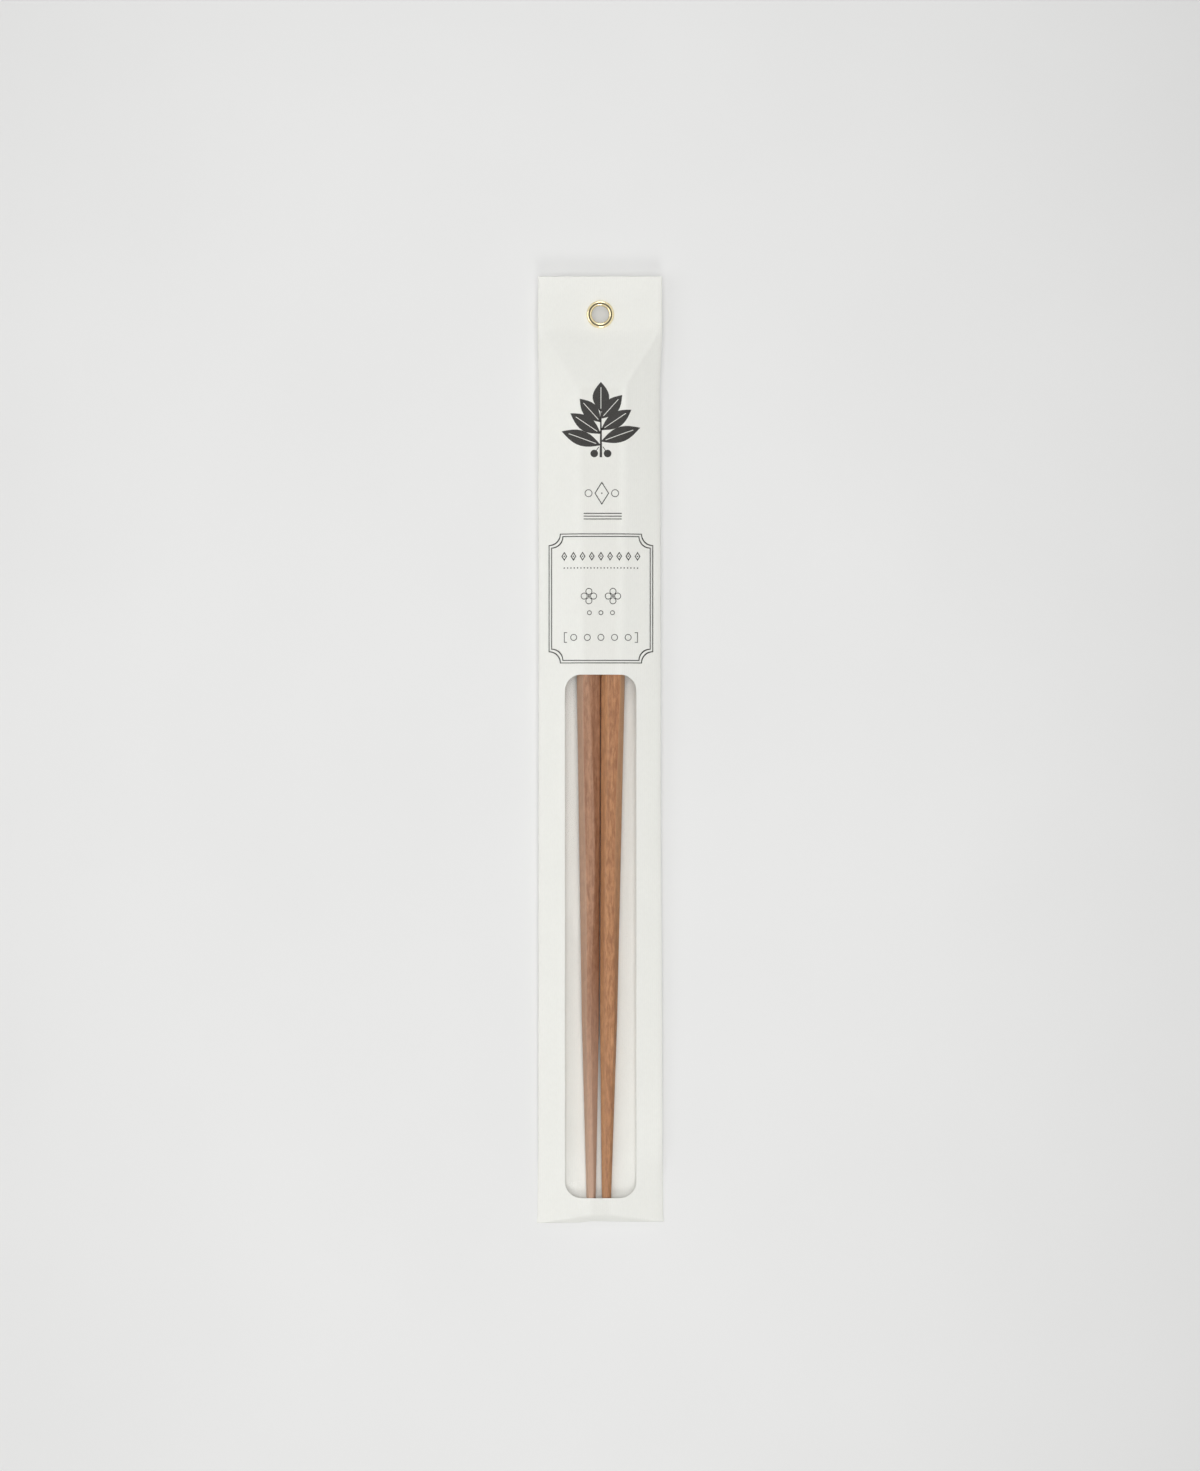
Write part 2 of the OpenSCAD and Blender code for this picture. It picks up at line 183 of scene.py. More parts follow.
def pair_x(y):
    """Middle of the pair, which leans a little over its length."""
    return PAIR_LEAN * ((y - TIP_Y) / STICK_LEN - 0.5)


def axis_off(y):
    """Distance of a stick's axis from the middle of the pair, whose gap grows with
    the cube of the way to the tips."""
    return (gentle_w(y) + BUTT_GAP + TIP_SPREAD * ((BUTT_Y - y) / STICK_LEN) ** 3) / 2


def pair_half(y):
    """Half the width that the paper spans over the two sticks."""
    return axis_off(y) + stick_w(y) / 2 + np.abs(pair_x(y)) / 2 + SEAT_GAP


def along(y):
    """y held to the stretch where the sticks lie."""
    return np.clip(y, TIP_Y, BUTT_Y)


def shoulder(y):
    """0 over the sticks, 1 on the header, with soft creases between."""
    return eased_ramp(SHOULDER_Y, HEADER_Y, y, CREASE_R)


def toe(y):
    """0 at the bottom fold, 1 over the tips."""
    return 1 - eased_ramp(-TOE_Y, -BOTTOM_Y, -y, TOE_R)


def front_flat(y):
    """Half width of the front's flat: the pair less part of its shaved corners, widened
    to the folds at both ends."""
    end_half = FLAT_HALF - FOLD_BEND
    body = mix(end_half, pair_half(along(y)) - CORNER_SHARE * stick_w(along(y)), toe(y))
    return mix(body, end_half, shoulder(y))


def back_flat(y):
    """Half width of the back's flat: wide at the bottom flap, then about the lap's."""
    low = np.maximum(pair_half(along(y)), LAP_W / 2 + BEND_R / 2 + 4 * FOLD_E)
    body = mix(FLAT_HALF - 1.5 * FOLD_BEND, low, ramp(FLARE_Y, FLARE_END_Y, y))
    return mix(body, FLAT_HALF - FOLD_BEND, shoulder(y))


def body_h(y):
    """Height of the closed sleeve over sticks, film and two layers of paper."""
    return stick_w(y) + 2 * PAPER_T + FILM_T + 2 * FILM_GAP + STICK_SLACK


def low_z(y):
    """Height of the back's underside."""
    return mix(BACK_Z, HEADER_Z - PAPER_T, shoulder(y))


def high_z(y):
    """Height of the front's top: the closed sleeve's height above the back."""
    body = mix(2.4 * PAPER_T, body_h(along(y)), toe(y))
    return low_z(y) + mix(body, 2 * PAPER_T, shoulder(y))


def fold_z(y):
    """Height of the side folds: near the table at the bottom flap, halfway up beyond."""
    middle = (low_z(y) + high_z(y)) / 2
    return mix(np.minimum(BACK_Z + 1.2 * FOLD_E, middle), middle, ramp(FLARE_Y, FLARE_END_Y, y))


def side_bow(y):
    """How far the soft bulge of the sides draws the folds in."""
    stations = [FLARE_Y, FLARE_END_Y, mix(FLARE_END_Y, BUTT_Y, 0.35),
                mix(FLARE_END_Y, BUTT_Y, 0.8), BUTT_Y, TOP_Y]
    return np.interp(y, stations, [0, 0.35, 0.2, 0, 0, 0.3])


def fold_x(y):
    """Half width at the folds: the flat plus the run of a side panel of constant length."""
    run = np.square(FLAT_HALF - front_flat(y)) - np.square(high_z(y) - fold_z(y) - FOLD_E)
    return front_flat(y) + np.sqrt(np.maximum(0.01, run)) - side_bow(y)


def panel_waves(y, x):
    """Slow waves of a few hundredths of a millimetre in the free side panels."""
    free = ramp(0, 3, np.abs(x) - front_flat(y)) * ramp(0, 2.5, fold_x(y) - np.abs(x))
    left = 0.07 * np.sin(y / 17.3 + 0.4) + 0.05 * np.sin(y / 7.1 + x / 5.3)
    right = 0.06 * np.sin(y / 21.7 + 2.1) + 0.05 * np.sin(y / 8.3 - x / 4.7 + 1.2)
    return free * np.where(x < 0, left, right)


def front_raw(y, x):
    """Front: high_z less a fall that starts by a parabola at the flat's edge, with
    the last of it rolled over the fold. The right hip is pressed to a sharp crease
    with a low ridge, the left one stays soft."""
    a, w, side = front_flat(y), fold_x(y), np.abs(x)
    soft = np.where(x > 0, mix(1, 0.3, ramp(BUTT_Y - 16, BUTT_Y, y)), 1)
    r = np.minimum(np.minimum(BEND_R / 2, 0.8 * (w - a)), 0.8 * a) * soft
    slope = (high_z(y) - fold_z(y) - FOLD_E) / (w - a)
    roll = ROLL_DEPTH * ramp(ROLL_W, 0, w - side) ** 2
    hip = ramp(BUTT_Y - 14, BUTT_Y, y) * ramp(HEADER_Y + 1, HEADER_Y - 3, y)
    ridge = np.where(x > 0, HIP_RIDGE * hip * np.exp(-((side - a) / RIDGE_W) ** 2), 0)
    return high_z(y) - slope * eased(side - a, r) - roll + ridge + panel_waves(y, x)


def back_raw(y, x):
    """Back: low_z plus a rise to the folds that starts the same way."""
    a, w = back_flat(y), fold_x(y)
    r = np.minimum(BEND_R / 2, 0.8 * (w - a))
    slope = (fold_z(y) - FOLD_E - low_z(y)) / (w - a)
    return low_z(y) + slope * eased(np.abs(x) - a, r)


def nose_closure(y, x):
    """1 inside the panels, falling to 0 at each folded edge like a quarter ellipse."""
    s = ramp(0, NOSE, np.abs(x) - (fold_x(y) - NOSE))
    t = np.maximum(ramp(0, NOSE, BOTTOM_Y + NOSE - y), ramp(0, NOSE, y - (TOP_Y - NOSE)))
    return np.sqrt(1 - s ** 2) * np.sqrt(1 - t ** 2)


def front_z(y, x):
    """The front's outer face, closed down to the folds."""
    middle = (front_raw(y, x) + back_raw(y, x)) / 2
    return middle + (front_raw(y, x) - middle) * nose_closure(y, x)


def back_panel_z(y, x):
    """The back's outer face, closed up to the folds."""
    middle = (front_raw(y, x) + back_raw(y, x)) / 2
    return middle - (middle - back_raw(y, x)) * nose_closure(y, x)


def arched_y(y, x):
    """The bottom fold draws in where the tips hold the front up: most over the pair,
    a little less to its right, least to its left."""
    arch = BOTTOM_ARCH * (0.1 * ramp(-FLAT_HALF, -6, x) + 0.9 * eased_ramp(-6.2, -3, x, 1.2))
    arch -= 0.2 * BOTTOM_ARCH * eased_ramp(2, 6.2, x, 1.2)
    return y + arch * (1 - ramp(BOTTOM_Y, TOE_Y, y))


def drifted_x(y, x):
    """The folds aren't quite straight: from the window's middle up the right one draws
    in, the left one stands out beside the hip and draws in at the header."""
    free = ramp(STRAIGHT_HALF, FLAT_HALF, np.abs(x))
    right = -RIGHT_IN * ramp(-75, -20, y)
    left = LEFT_IN * ramp(BUTT_Y, HEADER_Y, y)
    left = left - LEFT_OUT * ramp(45, 80, y) * ramp(HEADER_Y, BUTT_Y, y)
    return x + free * np.where(x > 0, right, left)


def header_curl(y):
    """The free end beyond the eyelet curls up by the square of the way to the edge,
    which also draws the edge in."""
    way = ramp(EYELET_Y + EYELET_FLANGE_D / 2, TOP_Y, y) ** 2
    return CURL_UP * way, -CURL_IN * way


def knots_to_steps(knots, cells):
    """Values from the first knot to the last with the given cells between them."""
    parts = [np.linspace(a, b, n, endpoint=False) for a, b, n in zip(knots, knots[1:], cells)]
    return np.concatenate(parts + [[knots[-1]]])


def turn_corner(x, y, centre, signs, radius, reach):
    """Bends the square rings round a hole's corner into arcs: on a ring of half
    side m, the point at the share t of the way from an axis to the diagonal goes
    to the angle t * 45 degrees at the distance m, fading out from radius to reach."""
    a = signs[0] * (x - centre[0])
    b = signs[1] * (y - centre[1])
    m = np.maximum(np.maximum(a, b), 1e-9)
    angle = np.pi / 4 * np.minimum(a, b) / m
    k = np.where((a > 0) & (b > 0), ramp(reach, radius, m), 0)
    long_side, short_side = m * np.cos(angle), m * np.sin(angle)
    new_a = mix(a, np.where(a >= b, long_side, short_side), k)
    new_b = mix(b, np.where(a >= b, short_side, long_side), k)
    return centre[0] + signs[0] * new_a, centre[1] + signs[1] * new_b


def make_object(name, points_mm, faces, material, sharp_deg=38):
    """A mesh object at the origin from points in millimetres."""
    mesh = bpy.data.meshes.new(name)
    mesh.from_pydata((np.asarray(points_mm) * MM).tolist(), [], [list(f) for f in faces])
    mesh.validate()
    mesh.shade_smooth()
    mesh.set_sharp_from_angle(angle=np.radians(sharp_deg))
    mesh.materials.append(material)
    piece = bpy.data.objects.new(name, mesh)
    bpy.context.scene.collection.objects.link(piece)
    return piece


def grid_quads(index):
    """Quads over a grid of point indices, facing +Z where rows go along Y."""
    return np.stack([index[:-1, :-1], index[:-1, 1:], index[1:, 1:], index[1:, :-1]], axis=-1)


def pillow(top, bottom):
    """Points of a closed skin between two grids that share their border, with the
    point numbers of its upper and lower grid."""
    rows, cols = top.shape[:2]
    upper = np.arange(rows * cols).reshape(rows, cols)
    lower = upper.copy()
    lower[1:-1, 1:-1] = rows * cols + np.arange((rows - 2) * (cols - 2)).reshape(rows - 2, cols - 2)
    points = np.concatenate([top.reshape(-1, 3), bottom[1:-1, 1:-1].reshape(-1, 3)])
    return points, upper, lower


def plate(x0, x1, y0, y1, z0, z1, nose=0.12):
    """A thin sheet with rounded edges between two heights: a closed pillow whose
    faces meet at the middle height along the border."""
    share = np.sin(np.linspace(0, np.pi / 2, 4)) * nose

    def stations(start, stop):
        flat = np.linspace(start + nose, stop - nose, 12)[1:-1]
        return np.concatenate([start + nose - share[::-1], flat, stop - nose + share])

    x, y = np.meshgrid(stations(x0, x1), stations(y0, y1))
    s = ramp(0, nose, np.maximum(x0 + nose - x, x - x1 + nose))
    t = ramp(0, nose, np.maximum(y0 + nose - y, y - y1 + nose))
    half = (z1 - z0) / 2 * np.sqrt(1 - s ** 2) * np.sqrt(1 - t ** 2)
    middle = (z0 + z1) / 2
    points, upper, lower = pillow(np.stack([x, y, middle + half], -1), np.stack([x, y, middle - half], -1))
    faces = np.concatenate([grid_quads(upper).reshape(-1, 4), grid_quads(lower).reshape(-1, 4)[:, ::-1]])
    return points, faces


# Columns across the front, with one on each side of the window, of its corner
# arcs and of the eyelet's hole
COLUMN_KNOTS = [-STRAIGHT_HALF, WINDOW_LEFT, WINDOW_LEFT + WINDOW_R, -HOLE_R, 0, HOLE_R,
                WINDOW_RIGHT - WINDOW_R, WINDOW_RIGHT, STRAIGHT_HALF]
COLUMN_CELLS = [6, 8, 5, 5, 5, 5, 8, 6]
SIDE_CELLS = 6
# Rows along the pack, closest where it is creased
ROW_KNOTS = [BOTTOM_Y + NOSE, WINDOW_BOTTOM, WINDOW_BOTTOM + WINDOW_R, WINDOW_TOP - WINDOW_R, WINDOW_TOP,
             BUTT_Y - 18, BUTT_Y, HEADER_Y, EYELET_Y - HOLE_R, EYELET_Y, EYELET_Y + HOLE_R, TOP_Y - NOSE]
ROW_CELLS = [13, 8, 64, 8, 38, 20, 34, 4, 5, 5, 14]


def sleeve_skin(depth):
    """The two grids of the sleeve's skin, sunk into the paper by depth: columns and
    rows are spaced between their knots, drawn in by the depth near the folds, and
    the rings round the window's corners and the eyelet's hole are turned to arcs."""
    nose = np.sin(np.linspace(0, np.pi / 2, NOSE_STEPS + 1))
    rows = knots_to_steps(ROW_KNOTS, ROW_CELLS)
    rows = np.concatenate([BOTTOM_Y + NOSE * (1 - nose[:0:-1]), rows, TOP_Y - NOSE * (1 - nose[1:])])
    columns = knots_to_steps(COLUMN_KNOTS, COLUMN_CELLS)
    y = rows[:, None]
    w = fold_x(y) - INNER_IN * depth
    run = w - NOSE - STRAIGHT_HALF
    outer = [STRAIGHT_HALF + run * k / SIDE_CELLS for k in range(1, SIDE_CELLS + 1)]
    outer += [w - NOSE + NOSE * s for s in nose[1:]]
    outer = np.concatenate(outer, axis=1)
    straight = np.broadcast_to(columns, (len(rows), len(columns)))
    x = np.concatenate([-outer[:, ::-1], straight, outer], axis=1)
    y = np.broadcast_to(y, x.shape)
    y = y + INNER_IN * depth * (ramp(BOTTOM_Y + 3, BOTTOM_Y, y) - ramp(TOP_Y - 3, TOP_Y, y))
    corners = [((WINDOW_LEFT + WINDOW_R, WINDOW_BOTTOM + WINDOW_R), (-1, -1)),
               ((WINDOW_RIGHT - WINDOW_R, WINDOW_BOTTOM + WINDOW_R), (1, -1)),
               ((WINDOW_LEFT + WINDOW_R, WINDOW_TOP - WINDOW_R), (-1, 1)),
               ((WINDOW_RIGHT - WINDOW_R, WINDOW_TOP - WINDOW_R), (1, 1))]
    for centre, signs in corners:
        x, y = turn_corner(x, y, centre, signs, WINDOW_R, WINDOW_R + WINDOW_FADE)
    for signs in ((-1, -1), (1, -1), (-1, 1), (1, 1)):
        x, y = turn_corner(x, y, (0, EYELET_Y), signs, HOLE_R, HOLE_R + HOLE_FADE)
    top, bottom = front_z(y, x), back_panel_z(y, x)
    middle = (top + bottom) / 2
    half = np.maximum((top - bottom) / 2 - depth, 0.02 * (top - bottom))
    half[[0, -1]] = half[:, [0, -1]] = 0
    bent_y, bent_x = arched_y(y, x), drifted_x(y, x)
    upper = np.stack([bent_x, bent_y, middle + half], -1)
    lower = np.stack([bent_x, bent_y, middle - half], -1)
    return upper, lower, rows


def hole_rim(outer, inner, i0, i1, j0, j1):
    """The paper's cut edge round a hole: quads between the loops of two grids."""
    def loop(index):
        near, far = index[i0, j0:j1], index[i1, j1:j0:-1]
        return np.concatenate([near, index[i0:i1, j1], far, index[i1:i0:-1, j0]])

    a, b = loop(outer), loop(inner)
    return np.stack([a, np.roll(a, -1), np.roll(b, -1), b], axis=-1)


def build_sleeve(material):
    """An outer skin and an inner one, both open at the window and the eyelet and
    joined by rims there, with the lap and the flaps as plates under the back."""
    top, bottom, rows = sleeve_skin(0)
    outer_points, outer_front, outer_back = pillow(top, bottom)
    top, bottom, _ = sleeve_skin(PAPER_T)
    inner_points, inner_front, inner_back = pillow(top, bottom)
    inner_front, inner_back = inner_front + len(outer_points), inner_back + len(outer_points)
    first = NOSE_STEPS + SIDE_CELLS
    column = dict(zip(range(len(COLUMN_KNOTS)), first + np.concatenate([[0], np.cumsum(COLUMN_CELLS)])))
    row = dict(zip(range(len(ROW_KNOTS)), NOSE_STEPS + np.concatenate([[0], np.cumsum(ROW_CELLS)])))
    window = (row[1], row[4], column[1], column[7])
    hole = (row[8], row[10], column[3], column[5])
    open_front = np.zeros((len(rows) - 1, outer_front.shape[1] - 1), bool)
    open_back = open_front.copy()
    open_front[window[0]:window[1], window[2]:window[3]] = True
    for mask in (open_front, open_back):
        mask[hole[0]:hole[1], hole[2]:hole[3]] = True
    faces = [grid_quads(outer_front)[~open_front], grid_quads(outer_back)[~open_back][:, ::-1],
             grid_quads(inner_front)[~open_front][:, ::-1], grid_quads(inner_back)[~open_back],
             hole_rim(outer_front, inner_front, *window), hole_rim(outer_front, inner_front, *hole),
             hole_rim(outer_back, inner_back, *hole)[:, ::-1]]
    points = [outer_points, inner_points]
    flap_half, header_half = FLAT_HALF - 2.8, FLAT_HALF - 0.6
    hole_near, hole_far = EYELET_Y - HOLE_R, EYELET_Y + HOLE_R
    under = (HEADER_Z - 2 * PAPER_T, HEADER_Z - PAPER_T)
    plates = [plate(-LAP_W / 2, LAP_W / 2, FLAP_END_Y - 1, BUTT_Y, 0, PAPER_T),
              plate(-flap_half, flap_half, BOTTOM_Y + BOTTOM_ARCH + 0.1, FLAP_END_Y, 0, PAPER_T),
              plate(-header_half, header_half, HEADER_Y + 1, hole_near - 0.5, *under),
              plate(-header_half, header_half, hole_far + 0.5, TOP_Y - 0.1, *under),
              plate(-header_half, -HOLE_R - 0.5, hole_near - 0.8, hole_far + 0.8, *under),
              plate(HOLE_R + 0.5, header_half, hole_near - 0.8, hole_far + 0.8, *under)]
    for plate_points, plate_faces in plates:
        faces.append(plate_faces + sum(len(p) for p in points))
        points.append(plate_points)
    used, faces = np.unique(np.concatenate(faces), return_inverse=True)
    points = np.concatenate(points)[used]
    up, along_y = header_curl(points[:, 1])
    points[:, 1] += along_y
    points[:, 2] += up
    return make_object("paper_sleeve", points, faces.reshape(-1, 4), material)


def build_film(material):
    """Clear film under the front: a pillow that follows the front's inner face."""
    x, y = np.meshgrid(np.linspace(film_low[0], film_high[0], 29),
                       np.linspace(film_low[1], film_high[1], 125))
    top = front_z(y, x) - PAPER_T - FILM_GAP
    half = np.full(top.shape, FILM_T / 2)
    half[[0, -1]] = half[:, [0, -1]] = 0
    middle = top - FILM_T / 2
    points, upper, lower = pillow(np.stack([x, y, middle + half], -1), np.stack([x, y, middle - half], -1))
    faces = np.concatenate([grid_quads(upper).reshape(-1, 4), grid_quads(lower).reshape(-1, 4)[:, ::-1]])
    return make_object("clear_film", points, faces, material)


def shave(y, side, top_side):
    """Share of the thickness that a shaved corner on top takes, a cosine along y."""
    if top_side < 0:
        return SHAVE_SHARE + side * SHAVE_WANDER / 3 * np.cos(2 * np.pi * y / SHAVE_WAVE)
    if side < 0:
        return SHAVE_SHARE + 0.06 + SHAVE_WANDER * np.cos(2 * np.pi * (y - TOP_Y / 6) / SHAVE_WAVE)
    return SHAVE_SHARE - 0.05 + SHAVE_WANDER / 2 * np.cos(2 * np.pi * (y - TIP_Y) / SHAVE_WAVE)


def build_stick(name, side, material, facet_shading):
    """An octagonal stick: at each y the eight corners of the shaved square, each
    turned into a small quadratic arc, with the knife's slow waver added; the ends
    are rounded over by rings that shrink along a quarter circle. The attribute
    "facet" carries each facet's painted light and shade, below 0 for painted shade
    and above 0 for painted highlight: a straight blend along y from the one at the
    tip to the one at the window's top."""
    ease, reach = 0.5, 0.13
    tip_scale, butt_scale = 0.74, 0.93
    end = np.linspace(0, np.pi / 2, 5)
    tip_end, butt_end = TIP_Y + ease * (1 - np.sin(end[::-1])), BUTT_Y - ease * (1 - np.sin(end))
    between = np.linspace(TIP_Y + ease, BUTT_Y - ease, 280)[1:-1]
    ys = np.concatenate([tip_end, between, butt_end])
    scale = np.concatenate([mix(tip_scale, 1, np.cos(end[::-1])), np.ones(len(between)),
                            mix(butt_scale, 1, np.cos(end))])
    w, c = stick_w(ys), SHAVE_SHARE * stick_w(ys)
    left, right = shave(ys, side, -1) * w, shave(ys, side, 1) * w
    half = w / 2
    corners = np.stack([np.stack(p, -1) for p in (
        (-half, c), (-half, w - c), (left - half, w), (half - right, w),
        (half, w - c), (half, c), (half - c, 0 * w), (c - half, 0 * w))], axis=1)
    number = np.arange(8)
    waver = 0.022 * np.sin(ys[:, None] / (6.1 + 0.9 * number) + 1.7 * number + side)
    waver += 0.03 * np.sin(ys[:, None] / (19 + 2.3 * number) + 2.9 * number + 2 * side)
    corners[:, 1:5, 0] += (waver * np.sqrt(w[:, None] / STICK_BUTT_W))[:, 1:5] * np.array([0, 1, 1, 0])
    before, after = np.roll(corners, 1, axis=1), np.roll(corners, -1, axis=1)
    p0, p2 = mix(corners, before, reach), mix(corners, after, reach)
    t = np.linspace(0, 1, 5)[None, None, :, None]
    ring = (1 - t) ** 2 * p0[:, :, None] + 2 * t * (1 - t) * corners[:, :, None] + t ** 2 * p2[:, :, None]
    ring = ring.reshape(len(ys), -1, 2)
    ring[..., 1] = w[:, None] / 2 + scale[:, None] * (ring[..., 1] - w[:, None] / 2)
    x = (pair_x(ys) + side * axis_off(ys))[:, None] + scale[:, None] * ring[..., 0]
    y = np.broadcast_to(ys[:, None], x.shape)
    z = STICK_Z + ring[..., 1]
    sides = x.shape[1]
    points = np.stack([x, y, z], -1).reshape(-1, 3)
    index = np.arange(len(ys) * sides).reshape(len(ys), sides)
    index = np.concatenate([index, index[:, :1]], axis=1)
    walls = grid_quads(index).reshape(-1, 4)
    centres = np.array([[x[k].mean(), ys[k], z[k].mean()] for k in (0, -1)])
    hub = len(points)
    first = np.stack([index[0, 1:], index[0, :-1], np.full(sides, hub)], -1)
    last = np.stack([index[-1, :-1], index[-1, 1:], np.full(sides, hub + 1)], -1)
    faces = [*walls[:, ::-1].tolist(), *first[:, ::-1].tolist(), *last[:, ::-1].tolist()]
    stick = make_object(name, np.concatenate([points, centres]), faces, material, 60)
    # Painted light and shade per facet, blended along y from the tip to the window's top
    tip_shading, top_shading = np.array(facet_shading)
    this = mix(tip_shading, top_shading, ramp(TIP_Y, WINDOW_TOP, ys)[:, None])
    last = np.roll(this, 1, axis=1)
    ring_shading = np.stack([last, last, (last + this) / 2, this, this], -1).ravel()
    facet = stick.data.attributes.new("facet", "FLOAT", "POINT")
    facet.data.foreach_set("value", np.append(ring_shading, [0, 0]))
    return stick


def build_print(material):
    """The print's own outlines, laid onto the fine front: each point keeps its place
    in plan and takes the front's height plus the gap, or the gap and the ink."""
    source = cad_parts["printed_ink"].data
    count = len(source.vertices)
    points = np.zeros(count * 3)
    source.vertices.foreach_get("co", points)
    points = points.reshape(-1, 3) / MM
    corners = np.zeros(len(source.loops), np.int64)
    source.loops.foreach_get("vertex_index", corners)
    tri = corners.reshape(-1, 3)
    normal = np.cross(points[tri[:, 1]] - points[tri[:, 0]], points[tri[:, 2]] - points[tri[:, 0]])
    normal /= np.maximum(np.linalg.norm(normal, axis=1), 1e-12)[:, None]
    key = np.round(points * 2000).astype(np.int64)
    _, first, merged = np.unique(key, axis=0, return_index=True, return_inverse=True)
    tri = merged.reshape(-1)[tri]
    keep = (tri[:, 0] != tri[:, 1]) & (tri[:, 1] != tri[:, 2]) & (tri[:, 0] != tri[:, 2])
    points, tri, normal = points[first], tri[keep], normal[keep]
    upper = np.zeros(len(points), bool)
    upper[tri[normal[:, 2] > 0.5]] = True
    points[:, 2] = front_z(points[:, 1], points[:, 0]) + INK_GAP + np.where(upper, INK_T, 0)
    return make_object("ink_ornament", points, tri, material)


def build_eyelet(material):
    """A turned eyelet: the profile is the outside of two rolled curls joined by the
    bore, then their inside, carried round the axis. A curl is half a superellipse,
    a little flatter on its crown than a circle."""
    seat_top, seat_bottom = HEADER_Z + PAPER_T + SEAT_GAP, HEADER_Z - 2 * PAPER_T - SEAT_GAP
    bore_r = EYELET_BORE_D / 2

    def arc(outer_d, seat, up, inset, start, stop):
        r = (outer_d - EYELET_BORE_D) / 4
        angle = np.linspace(start, stop, 21)
        across = np.sign(np.cos(angle)) * np.abs(np.cos(angle)) ** (2 / EYELET_ROUND)
        height = np.clip(np.sin(angle), 0, 1) ** (2 / EYELET_ROUND)
        return np.stack([outer_d / 2 - r + (r - inset) * across, seat + up * (r - inset) * height], -1)

    top_out = arc(EYELET_FLANGE_D, seat_top, 1, 0, 0, np.pi)
    top_in = arc(EYELET_FLANGE_D, seat_top, 1, BRASS_T, np.pi, 0)
    low_out = arc(EYELET_RIM_D, seat_bottom, -1, 0, np.pi, 0)
    low_in = arc(EYELET_RIM_D, seat_bottom, -1, BRASS_T, 0, np.pi)
    bore = np.array([[bore_r, z] for z in np.linspace(seat_top, seat_bottom, 4)[1:-1]])
    wall = np.array([[bore_r + BRASS_T, z] for z in np.linspace(seat_bottom, seat_top, 4)[1:-1]])
    profile = np.concatenate([top_out, bore, low_out, low_in, wall, top_in])
    turn = np.linspace(0, 2 * np.pi, 128, endpoint=False)
    x = profile[:, 0] * np.cos(turn)[:, None]
    y = EYELET_Y + profile[:, 0] * np.sin(turn)[:, None]
    z = np.broadcast_to(profile[:, 1], x.shape)
    index = np.arange(x.size).reshape(x.shape)
    index = np.concatenate([index, index[:1]])
    index = np.concatenate([index, index[:, :1]], axis=1)
    return make_object("brass_eyelet", np.stack([x, y, z], -1).reshape(-1, 3),
                       grid_quads(index).reshape(-1, 4), material, 50)


def linear(red, green, blue):
    """A display colour of 0 to 255 as scene-linear values."""
    c = np.array([red, green, blue]) / 255
    return tuple(np.where(c <= 0.04045, c / 12.92, ((c + 0.055) / 1.055) ** 2.4)) + (1,)


def add(tree, kind, inputs=None, **settings):
    """A shader node with its inputs and settings filled in."""
    made = tree.nodes.new(kind)
    for key, value in settings.items():
        setattr(made, key, value)
    for key, value in (inputs or {}).items():
        made.inputs[key].default_value = value
    return made


def finish_material(name, **sockets):
    """A Principled material with plain values on its own sockets."""
    made = bpy.data.materials.new(name)
    made.use_nodes = True
    shader = made.node_tree.nodes["Principled BSDF"]
    for key, value in sockets.items():
        shader.inputs[key.replace("_", " ")].default_value = value
    return made, made.node_tree, shader


def placed(tree, scale=(1, 1, 1), turn=(0, 0, 0), shift=(0, 0, 0)):
    """Object coordinates through a Mapping node."""
    where = add(tree, "ShaderNodeTexCoord")
    mapping = add(tree, "ShaderNodeMapping", {"Scale": scale, "Rotation": turn, "Location": shift})
    tree.links.new(where.outputs["Object"], mapping.inputs["Vector"])
    return mapping.outputs["Vector"]


def noise(tree, vector, scale, detail=2, rough=0.5, distortion=0):
    """A noise texture's factor."""
    made = add(tree, "ShaderNodeTexNoise", {"Scale": scale, "Detail": detail, "Roughness": rough,
                                            "Distortion": distortion})
    tree.links.new(vector, made.inputs["Vector"])
    return made.outputs["Fac"]


def ramp_colours(tree, factor, stops):
    """A colour ramp through (place, colour) stops."""
    made = add(tree, "ShaderNodeValToRGB")
    elements = made.color_ramp.elements
    while len(elements) < len(stops):
        elements.new(0.5)
    for element, (place, colour) in zip(elements, stops):
        element.position = place
        element.color = colour
    tree.links.new(factor, made.inputs["Fac"])
    return made.outputs["Color"]


def ramp_value(tree, factor, lo, hi, out_lo, out_hi):
    """A value mapped from lo..hi to out_lo..out_hi and held beyond."""
    made = add(tree, "ShaderNodeMapRange", {"From Min": lo, "From Max": hi,
                                            "To Min": out_lo, "To Max": out_hi})
    tree.links.new(factor, made.inputs["Value"])
    return made.outputs["Result"]


def blend_colours(tree, kind, factor, first, second):
    """A Mix node; factor and the colours are sockets or plain values."""
    made = add(tree, "ShaderNodeMix", data_type="RGBA", blend_type=kind)
    for socket, value in ((made.inputs[0], factor), (made.inputs[6], first), (made.inputs[7], second)):
        if isinstance(value, bpy.types.NodeSocket):
            tree.links.new(value, socket)
        else:
            socket.default_value = value
    return made.outputs[2]


def bump(tree, shader, height, strength, distance):
    """A bump from a height, on the shader's normal."""
    made = add(tree, "ShaderNodeBump", {"Strength": strength, "Distance": distance})
    tree.links.new(height, made.inputs["Height"])
    tree.links.new(made.outputs["Normal"], shader.inputs["Normal"])
    return made


